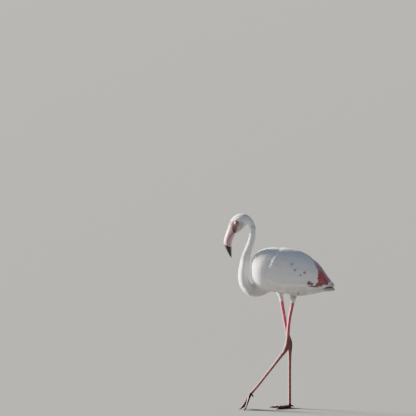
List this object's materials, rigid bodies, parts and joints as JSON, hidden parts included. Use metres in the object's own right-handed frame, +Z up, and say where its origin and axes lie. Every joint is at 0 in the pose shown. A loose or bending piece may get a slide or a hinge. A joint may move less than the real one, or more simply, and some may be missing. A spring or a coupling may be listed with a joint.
{
  "type": "greater flamingo model",
  "caption": "Life-size still model of an adult greater flamingo walking, neck in an S, bill pointing down, one leg upright and the other striding forward.",
  "frame": {"origin": "centre of the right foot's sole pad, on the floor, under the upright leg", "axes": "+Z up, -X the way the bird faces, -Y toward its left side"},
  "size_m": [0.4795, 0.1698, 0.8518],
  "materials": {
    "plumage_white": "soft matt white feathers with a faint pink flush",
    "plumage_crimson": "soft matt crimson wing coverts",
    "plumage_black": "satin black flight feathers",
    "plumage_tail": "matt off-white tail feathers stained a little brown",
    "bill_pink": "satin pink horn of the bill",
    "bill_black": "satin black horn of the bill's tip",
    "leg_skin": "scaled pink leg skin, darker at the joints and feet",
    "claw": "dark horn claws",
    "eye": "glossy pale yellow eye with a black pupil"
  },
  "bodies": {
    "root": {"trunk": "plumage_white", "wing_left": "plumage_white", "wing_coverts_left": "plumage_crimson", "wing_plumes_left": "plumage_white", "primaries_left": "plumage_black", "wing_right": "plumage_white", "wing_coverts_right": "plumage_crimson", "wing_plumes_right": "plumage_white", "primaries_right": "plumage_black", "tail": "plumage_tail", "neck_base": "plumage_white", "neck_lower": "plumage_white", "neck_middle": "plumage_white", "neck_upper": "plumage_white", "head": "plumage_white", "eye_left": "eye", "eye_right": "eye", "bill_upper": "bill_pink", "bill_lower": "bill_pink", "bill_tip_upper": "bill_black", "bill_tip_lower": "bill_black", "thigh_left": "plumage_white", "shin_left": "leg_skin", "ankle_left": "leg_skin", "tarsus_left": "leg_skin", "foot_left": "leg_skin", "claw_inner_left": "claw", "claw_middle_left": "claw", "claw_outer_left": "claw", "thigh_right": "plumage_white", "shin_right": "leg_skin", "ankle_right": "leg_skin", "tarsus_right": "leg_skin", "foot_right": "leg_skin", "claw_inner_right": "claw", "claw_middle_right": "claw", "claw_outer_right": "claw"}
  },
  "joints": []
}
